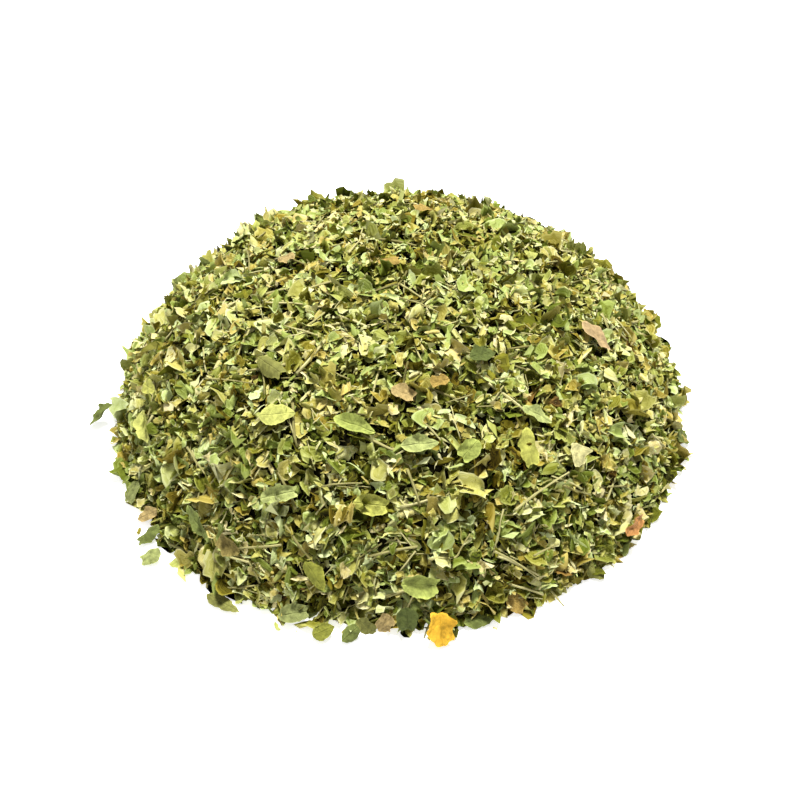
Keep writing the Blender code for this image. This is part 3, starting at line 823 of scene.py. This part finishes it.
def strew(name, surface, bits, finish, seed, **sizes):
    """Strews bits over a surface and returns them as one plain mesh object. The surface goes."""
    given = {"Bits": bits, "Finish": finish, "Seed": seed, "Flat Below": 0.008,
             "Loose Leaves": loose_leaves, "Greenest": 0.0, "Straw": 0.94, "Tone Drift": 0.16,
             **sizes}
    modifier = surface.modifiers.new("strewing", "NODES")
    modifier.node_group = strewing
    for item in strewing.interface.items_tree:
        if item.in_out == "INPUT" and item.name in given:
            modifier[item.identifier] = given[item.name]
    graph = bpy.context.evaluated_depsgraph_get()
    mesh = bpy.data.meshes.new_from_object(surface.evaluated_get(graph))
    mesh.name = name
    mesh.materials.clear()
    mesh.materials.append(finish)
    mesh.polygons.foreach_set("material_index", [0] * len(mesh.polygons))
    made = bpy.data.objects.new(name, mesh)
    scene.collection.objects.link(made)
    bpy.data.objects.remove(surface)
    return made


def ring(name, inner, outer):
    """A flat ring on the table round the heap's foot, with a wavy outer edge."""
    built = bmesh.new()
    rims = ([], [])
    for side in range(MOUND_SIDES * 2):
        bearing = math.pi * side / MOUND_SIDES
        out = outer + RING_WAVE * (math.sin(3 * bearing + 1.0) + math.sin(7 * bearing) +
                                   math.sin(17 * bearing + 2.0)) / 3
        share = reach_on_side(bearing)
        for rim, radius in zip(rims, (inner * share, out * share)):
            rim.append(built.verts.new((radius * math.cos(bearing),
                                        radius * math.sin(bearing), RING_HEIGHT)))
    for side in range(MOUND_SIDES * 2):
        after = (side + 1) % (MOUND_SIDES * 2)
        built.faces.new((rims[0][side], rims[1][side], rims[1][after], rims[0][after]))
    return as_object(built, name, scene.collection)


# The deeper layers get darker tones than the upper ones: painted shade of the gaps under the
# flakes.
# name, bits, depth at the crown and at the foot in mm, number to the square metre, smallest and
# largest in mm, tip, level, scatter in height and clearance round loose leaves in mm, darkest
# and palest tone
LAYERS = (
    ("flakes_deep", coarse_shapes, 3.2, 6.0, 60000, 5.0, 10.0, 0.6, 0.3, 0.6, 0, 0.00, 0.17),
    ("flakes_under", flake_shapes, 2.2, 4.9, 49000, 4.0, 9.0, 0.7, 0.9, 0.8, 1.3, 0.05, 0.54),
    ("flakes_upper", flake_shapes, 1.2, 3.8, 60000, 3.8, 8.8, 0.7, 0.9, 0.9, 2.6, 0.25, 0.86),
    ("crumbs_deep", coarse_shapes, 2.0, 4.4, 40000, 2.0, 4.0, 1.3, 0.6, 1.0, 0, 0.05, 0.50),
    ("crumbs_top", crumb_shapes, 0.7, 3.0, 22000, 1.8, 4.2, 1.2, 0.6, 0.9, 1.6, 0.25, 0.80),
    ("leaflets_top", leaflet_shapes, 2.0, 4.4, 15000, 5.0, 8.6, 0.35, 0.5, 0.6, 3.4, 0.30, 0.84),
    ("rolls_top", roll_shapes, 0.9, 3.8, 15000, 3.8, 8.8, 0.5, 0.6, 0.6, 2.0, 0.25, 0.84),
    ("strips_top", strip_shapes, 0.5, 3.3, 32000, 2.8, 6.8, 1.2, 0.6, 0.9, 1.5, 0.30, 0.88),
    ("flakes_over", flake_shapes, -0.8, 1.8, 8000, 2.4, 5.0, 0.7, 0.7, 0.4, 1.4, 0.25, 0.84),
)
# The foot layers get darker tones than the upper ones: painted shade of the heap's foot.
# name, bits, inner and outer radius in mm, number to the square metre, sizes, tip, tones
FOOT_LAYERS = (
    ("foot_flakes", flake_shapes, 103.0, 112.5, 95000, 5.0, 10.0, 0.9, 0.04, 0.58),
    ("foot_leaflets", leaflet_shapes, 103.0, 112.0, 34000, 7.0, 12.5, 0.5, 0.06, 0.52),
    ("foot_strays", crumb_shapes, 110.0, 117.0, 6000, 1.5, 4.0, 0.4, 0.15, 0.70),
)

strewn = []
for order, (name, bits, depth, foot, density, small, large, tip, level, scatter, clear, dark,
            pale) in enumerate(LAYERS):
    ground = mound(name + "_ground", depth / 1000, foot / 1000, False)
    strewn.append(strew(name, ground, bits, flake_material, 100 + 37 * order, Density=density,
                        Smallest=small / 1000, Largest=large / 1000, Clear=clear / 1000,
                        Darkest=dark, Palest=pale,
                        **{"Most Tip": tip, "Most Level": level,
                           "Scatter Height": scatter / 1000}))
for order, (name, bits, inner, outer, density, small, large, tip, dark,
            pale) in enumerate(FOOT_LAYERS):
    ground = ring(name + "_ground", inner / 1000, outer / 1000)
    strewn.append(strew(name, ground, bits, flake_material, 700 + 41 * order, Density=density,
                        Smallest=small / 1000, Largest=large / 1000, Clear=FOOT_CLEAR,
                        Darkest=dark, Palest=pale,
                        **{"Most Tip": tip, "Scatter Height": FOOT_SCATTER}))
for layer in strewn:
    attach(layer, "root")
    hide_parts("leaf_heap")


# Bits of leaf stalk among the flakes: thin dry stems, paler and greyer than the leaf, a little
# crooked and streaked along their length, as the cutter left them. They are strewn like the
# flakes and become one piece.
STALK = ((0.0, (0.015, 0.012, 0.003)), (0.30, (0.130, 0.116, 0.032)),
         (0.65, (0.360, 0.330, 0.130)), (1.0, (0.590, 0.550, 0.270)))
STREAKS_ALONG = 3.0
STREAKS_ACROSS = 12.0
STREAK_TONE = 0.6
STALK_SHAPES = 12
STALK_CROOK = 0.5
STALK_HALF_WIDTHS = (0.020, 0.045)
STALK_TAPER = (1.0, 0.85, 0.95, 0.8, 0.7)


def tube(name, centres, radii, sides, sheet_place, collection):
    """A closed tube through a row of centres, with the given radius at each."""
    built = bmesh.new()
    sheet_map = built.loops.layers.uv.new(SHEET_MAP)
    rings = []
    count = len(centres)
    for index, (centre, radius) in enumerate(zip(centres, radii)):
        ahead = centres[min(index + 1, count - 1)] - centres[max(index - 1, 0)]
        turn = ahead.normalized().to_track_quat("Z", "Y").to_matrix()
        points = []
        for side in range(sides):
            angle = 2 * math.pi * side / sides
            spoke = Vector((radius * math.cos(angle), radius * math.sin(angle), 0.0))
            points.append(built.verts.new(centre + turn @ spoke))
        rings.append(points)
    for index, (lower, upper) in enumerate(zip(rings, rings[1:])):
        for side in range(sides):
            after = (side + 1) % sides
            face = built.faces.new((lower[side], lower[after], upper[after], upper[side]))
            face.smooth = True
            corners = ((index, side), (index, side + 1), (index + 1, side + 1), (index + 1, side))
            for loop, (station, around) in zip(face.loops, corners):
                loop[sheet_map].uv = sheet_place(station / (count - 1), around / sides)
    for points in (rings[0][::-1], rings[-1]):
        face = built.faces.new(points)
        for loop in face.loops:
            loop[sheet_map].uv = sheet_place(0.02, 0.5)
    return as_object(built, name, collection)


def along_stalk(along, around):
    """Where a point of a strewn stalk lies on its tile of the sheet."""
    return 0.30 + 0.60 * along, 0.2 + 0.6 * around


stalk_material, tree, shader = new_material("leaf_stalk", 0.65)
sheet = add(tree, "ShaderNodeUVMap", uv_map=SHEET_MAP)
stretched = on_vector("MULTIPLY", sheet, (STREAKS_ALONG * TILES, STREAKS_ACROSS * TILES, 1.0))
streaks = add(tree, "ShaderNodeTexNoise", {"Vector": stretched, "Scale": 1.0, "Detail": 2.0},
              noise_dimensions="2D")
column = calculate("FLOOR", calculate("MULTIPLY", parts_of(sheet)["X"], TILES))
streaked = calculate("MULTIPLY_ADD", streaks, STREAK_TONE, -STREAK_TONE / 2)
tone = calculate("MULTIPLY_ADD", column, 1 / (TILES - 1), streaked, clamp=True)
finish_surface(shader, ramp(tone, STALK), streaks, 0.0002)

stalk_shapes = bpy.data.collections.new("stalk")
for index in range(STALK_SHAPES):
    crook = cutter.uniform(-STALK_CROOK, STALK_CROOK)
    slim = cutter.uniform(*STALK_HALF_WIDTHS)
    centres = []
    for station in range(len(STALK_TAPER)):
        x = station / (len(STALK_TAPER) - 1) - 0.5
        centres.append(Vector((x, 0.25 * crook * (x * x - 0.1) + cutter.uniform(-0.01, 0.01),
                               cutter.uniform(-0.02, 0.02))))
    tube(f"stalk.{index:02d}", centres, [slim * share for share in STALK_TAPER], 5,
         along_stalk, stalk_shapes)

ground = mound("stalks_ground", depth=0.0004, foot=0.0028, with_base=False)
stalks = strew("stalks_strewn", ground, stalk_shapes, stalk_material, 991, Density=9000,
               Smallest=0.005, Largest=0.017, Clear=0.0012, Darkest=0.30, Palest=0.86,
               **{"Most Tip": 0.25, "Scatter Height": 0.0006})
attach(stalks, "root")
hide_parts("leaf_heap")

bpy.data.objects.remove(loose_leaves)
for collection in (coarse_shapes, crumb_shapes, flake_shapes, leaflet_shapes, roll_shapes,
                   strip_shapes, stalk_shapes):
    for shape in list(collection.objects):
        bpy.data.objects.remove(shape)


# The loose stalks that the eye picks out: a dozen bits of dry leaf stalk, a little crooked, that
# simply lie on the flakes. Each keeps the line of its packed one, but is slimmer and has more
# rings, and takes its tone from the photo or by chance.
STALK_TONES = {"stalk_straight_right": 16, "stalk_long_front": 15, "stalk_bent_front": 14}
OTHER_STALK_TONES = (10, 17)
STALK_SLIMNESS = (0.65, 0.90)
PACKED_RINGS = 7
STALK_STEPS = 4
STALK_SIDES = 9


def stalk_line(node):
    """The centres and radii of a packed stalk, ring by ring from one end."""
    points = np.array([vertex.co for vertex in frame["nodes"][node].data.vertices])
    points = np.unique(points.round(6), axis=0)
    middle = points.mean(axis=0)
    along = np.linalg.svd(points - middle)[2][0]
    reach = (points - middle) @ along
    order = np.argsort(reach)
    gaps = np.diff(reach[order])
    splits = np.sort(np.argsort(gaps)[1 - PACKED_RINGS:]) + 1
    rings = np.split(order, splits)
    centres = [points[ring].mean(axis=0) for ring in rings]
    radii = [np.linalg.norm(points[ring] - centre, axis=1).max()
             for ring, centre in zip(rings, centres)]
    return centres, radii


def finer_line(values, steps):
    """The same row of values with more of them between, on a smooth curve."""
    padded = [2 * values[0] - values[1], *values, 2 * values[-1] - values[-2]]
    fine = []
    for index in range(1, len(padded) - 2):
        a, b, c, d = padded[index - 1:index + 3]
        for step in range(steps):
            t = step / steps
            fine.append(0.5 * (2 * b + (c - a) * t + (2 * a - 5 * b + 4 * c - d) * t * t +
                               (3 * b - a - 3 * c + d) * t ** 3))
    fine.append(values[-1])
    return fine


stalk_rng = random.Random(5)
for node in sorted(name for name in frame["nodes"] if name.startswith("stalk_")):
    centres, radii = stalk_line(node)
    centres = [Vector(centre) for centre in finer_line(centres, STALK_STEPS)]
    radii = [radius * stalk_rng.uniform(*STALK_SLIMNESS)
             for radius in finer_line(radii, STALK_STEPS)]
    column = STALK_TONES.get(node, stalk_rng.randint(*OTHER_STALK_TONES))

    def stalk_sheet(along, around, column=column):
        u, v = along_stalk(along, around)
        return (column + u) / TILES, v / TILES

    piece = tube(node + "_fine", centres, radii, STALK_SIDES, stalk_sheet, scene.collection)
    piece.data.materials.append(stalk_material)
    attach(piece, "root")
    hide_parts(node)


# The loose leaves that the eye picks out, on the heap and round its foot. Each keeps the place,
# outline and bend of its packed one, with a finer torn edge, a curl, veins and its own colour,
# and a paler rim that is a painted highlight.
TINTS = {
    "pale": (0.398, 0.407, 0.106), "cream": (0.479, 0.444, 0.202),
    "bright": (0.269, 0.306, 0.072), "lime": (0.354, 0.354, 0.075), "moss": (0.209, 0.215, 0.034),
    "olive": (0.168, 0.168, 0.043), "mint": (0.306, 0.338, 0.114), "green": (0.137, 0.162, 0.041),
    "dark": (0.086, 0.106, 0.026), "dusty": (0.202, 0.221, 0.075), "fawn": (0.329, 0.234, 0.114),
    "ochre": (0.314, 0.215, 0.054), "sand": (0.371, 0.276, 0.110), "peach": (0.363, 0.221, 0.072),
    "umber": (0.185, 0.147, 0.043), "orange": (0.363, 0.173, 0.054),
    "yellow": (0.614, 0.354, 0.032),
}
LEAF_TINTS = {
    "leaflet_pale_left": "pale", "leaflet_olive_left": "pale", "leaflet_small_left": "lime",
    "leaflet_folded_left": "olive", "leaflet_rolled_front": "bright",
    "leaflet_rolled_centre": "mint", "leaflet_brown_right": "fawn", "leaf_brown_centre": "sand",
    "leaf_brown_middle": "ochre", "leaf_tan_upper_left": "sand", "leaf_tan_crown": "ochre",
    "leaf_tan_back": "ochre", "leaflet_yellow_green_right": "lime", "leaf_square_right": "cream",
    "leaf_pale_centre": "cream", "leaflet_green_middle": "mint", "leaflet_green_front": "bright",
    "leaflet_dark_centre": "dark", "leaflet_light_low_front": "bright",
    "leaflet_curled_low_left": "mint", "leaf_yellow_green_front": "lime",
    "leaf_orange_low_right": "orange", "leaf_round_back_right": "pale",
    "leaf_narrow_low_left": "green", "leaf_brown_low_left": "umber",
    "leaf_curved_low_front": "moss", "leaf_brown_front_foot": "sand",
    "leaf_dark_front_foot": "dark", "leaf_round_front_foot": "olive",
    "leaf_yellow_front": "yellow", "leaflet_green_front_foot": "green",
    "leaf_brown_right_foot": "ochre", "leaf_dusty_front_foot": "dusty",
    "leaf_olive_low_front_foot": "moss", "leaf_green_low_front_foot": "green",
    "leaf_outlying_left": "olive", "leaflet_dark_left_foot": "green",
    "leaf_dark_low_left_foot": "dusty", "leaf_tan_left_foot": "sand",
    "leaf_green_left_foot": "green", "leaf_pale_left_foot": "mint",
    "leaf_green_right_foot": "green", "leaf_green_low_right_foot": "olive",
    "leaf_brown_far_foot": "umber", "leaflet_pale_far_foot": "mint",
}
LEAF_CURLS = {"leaflet_rolled_front": 1.1, "leaflet_rolled_centre": 1.0,
              "leaf_yellow_green_front": 0.8, "leaf_yellow_front": 0.5,
              "leaflet_curled_low_left": 1.2, "leaflet_green_front": 0.6,
              "leaf_outlying_left": 0.05, "leaf_dark_front_foot": 0.15,
              "leaflet_brown_right": 0.25, "leaflet_pale_left": 0.2}
LEAF_SPACING = 0.085
LEAF_THICK = 0.022
LEAF_WAVE = 0.045
LEAF_CRUMPLE = 0.026
LEAF_LOWEST = 0.0003
LEAF_MARGIN = 0.05
LEAF_ROUNDING = 0.14
LEAF_RAGGEDNESS = 0.15
LEAF_CURL = (0.20, 0.75)
LEAF_FOLD = (0.05, 0.30)
DRY_CURL = 0.4
FULL_TURN = 6.28
BLOTCH_LIGHT = (2.4, -0.20)
VEIN_LIGHT = 0.14
RIM_PAINTED_HIGHLIGHT = 0.45

leaf_material, tree, shader = new_material("loose_leaf", 0.6)
sheet = add(tree, "ShaderNodeUVMap", uv_map=SHEET_MAP)
tint = add(tree, "ShaderNodeAttribute", attribute_name="tint")
rim = add(tree, "ShaderNodeAttribute", attribute_name="rim")
veins = add(tree, "ShaderNodeGroup", node_tree=veins_group)
tree.links.new(sheet.outputs["UV"], veins.inputs["Place"])
variety = calculate("MULTIPLY", tint.outputs["Alpha"], VARIETIES)
tree.links.new(output_of(variety), veins.inputs["Variety"])
light = calculate("MULTIPLY_ADD", veins.outputs["Blotches"], *BLOTCH_LIGHT)
light = calculate("MULTIPLY_ADD", veins.outputs["Veins"], VEIN_LIGHT, light)
# A paler rim on each loose leaf: a painted highlight.
rim_highlight_mask = calculate("POWER", rim.outputs["Fac"], 3.0)
light = calculate("MULTIPLY_ADD", rim_highlight_mask, RIM_PAINTED_HIGHLIGHT, light)
finish_surface(shader, on_vector("SCALE", tint.outputs["Color"], light),
               veins.outputs["Height"], 0.0003)


def packed_leaf(node):
    """The place of a packed leaf: its middle, its axes, its outline in their terms, and a
    folded and bent surface fitted to its upper side."""
    solid = bmesh.new()
    solid.from_mesh(frame["nodes"][node].data)
    bmesh.ops.remove_doubles(solid, verts=solid.verts, dist=1e-6)
    solid.normal_update()
    points = np.array([vertex.co for vertex in solid.verts])
    middle = points.mean(axis=0)
    axes = np.linalg.svd(points - middle)[2]
    if axes[2][2] < 0:
        axes[2] = -axes[2]
    axes[1] = np.cross(axes[2], axes[0])
    up = Vector(axes[2])
    # Lists and not sets: the outline has to start at the same corner each time.
    upper = [face for face in solid.faces if face.normal.dot(up) > 0.3]
    following = {}
    for face in upper:
        for loop in face.loops:
            if loop.link_loop_radial_next.face not in upper:
                following[loop.vert] = loop.link_loop_next.vert
    vertex = next(iter(following))
    outline = []
    while vertex in following:
        outline.append((np.array(vertex.co) - middle) @ axes.T)
        vertex = following.pop(vertex)
    corners = dict.fromkeys(vertex for face in upper for vertex in face.verts)
    tops = np.array([vertex.co for vertex in corners])
    solid.free()
    x, y, z = ((tops - middle) @ axes.T).T
    fit = np.linalg.lstsq(surface_terms(x, y), z, rcond=None)[0]
    return middle, axes, outline, fit


def surface_terms(x, y):
    """The terms of a surface that bends along its length and folds along its middle."""
    return np.column_stack([np.ones_like(x), x, y, x * x, np.abs(y), x * y])


def finer_outline(outline, rng, rounding, longest, raggedness):
    """The outline with its corners a little rounded and its edges finely torn."""
    points = []
    for index, here in enumerate(outline):
        before, after = outline[index - 1], outline[(index + 1) % len(outline)]
        points.append(tuple(h + rounding * (b - h) for h, b in zip(here, before)))
        points.append(tuple(h + rounding * (a - h) for h, a in zip(here, after)))
    while True:
        split = []
        for index, point in enumerate(points):
            after = points[(index + 1) % len(points)]
            split.append(point)
            if math.dist(point, after) > longest:
                out = rng.uniform(-raggedness, raggedness)
                split.append(((point[0] + after[0]) / 2 + out * (after[1] - point[1]),
                              (point[1] + after[1]) / 2 - out * (after[0] - point[0])))
        if len(split) == len(points):
            return split
        points = split


leaf_rng = random.Random(23)
for node, tint_name in LEAF_TINTS.items():
    middle, axes, outline, fit = packed_leaf(node)
    outline = [(point[0], point[1]) for point in outline]
    start, end = extents(outline)[:2]
    length = end - start
    flat = [((x - start) / length, y / length) for x, y in outline]
    flat = finer_outline(flat, leaf_rng, LEAF_ROUNDING, LEAF_SPACING, LEAF_RAGGEDNESS)
    half = max(abs(y) for x, y in flat)
    inner = inside_points(flat, leaf_rng, LEAF_SPACING, LEAF_MARGIN)
    curl = LEAF_CURLS.get(node, leaf_rng.uniform(*LEAF_CURL) * leaf_rng.choice((-1, 1, 1)))
    dryness = min(1.0, abs(curl) / DRY_CURL)
    fold = leaf_rng.uniform(*LEAF_FOLD) * dryness
    phase = leaf_rng.uniform(0, FULL_TURN)

    def shape(x, y, length=length, start=start, fit=fit, middle=middle, axes=axes, half=half,
              curl=curl, fold=fold, dryness=dryness, phase=phase):
        along, across = x * length + start, y * length
        height = float((surface_terms(np.array([along]), np.array([across])) @ fit)[0])
        off = min(1.2, abs(y) / half)
        crumpled = (LEAF_WAVE * off * math.sin(11 * x + phase) +
                    LEAF_CRUMPLE * math.sin(12 * x + 17 * y + 2 * phase))
        height += length * (fold * abs(y) + curl * half * off**3 + dryness * crumpled)
        place = middle + along * axes[0] + across * axes[1] + height * axes[2]
        return place[0], place[1], max(place[2], LEAF_LOWEST)

    piece = thin_sheet(node + "_fine", flat, inner, shape, LEAF_THICK * length, scene.collection,
                       on_leaflet)
    mesh = piece.data
    colour = mesh.color_attributes.new("tint", "FLOAT_COLOR", "POINT")
    for datum in colour.data:
        datum.color = (*TINTS[tint_name], phase / FULL_TURN)
    # The rim's mask, which carries the painted highlight along the leaf's edge.
    edge = mesh.attributes.new("rim", "FLOAT", "POINT")
    sharp = {index for line in mesh.edges if line.use_edge_sharp for index in line.vertices}
    for index in sharp:
        edge.data[index].value = 1.0
    mesh.materials.append(leaf_material)
    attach(piece, "root")
    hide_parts(node)
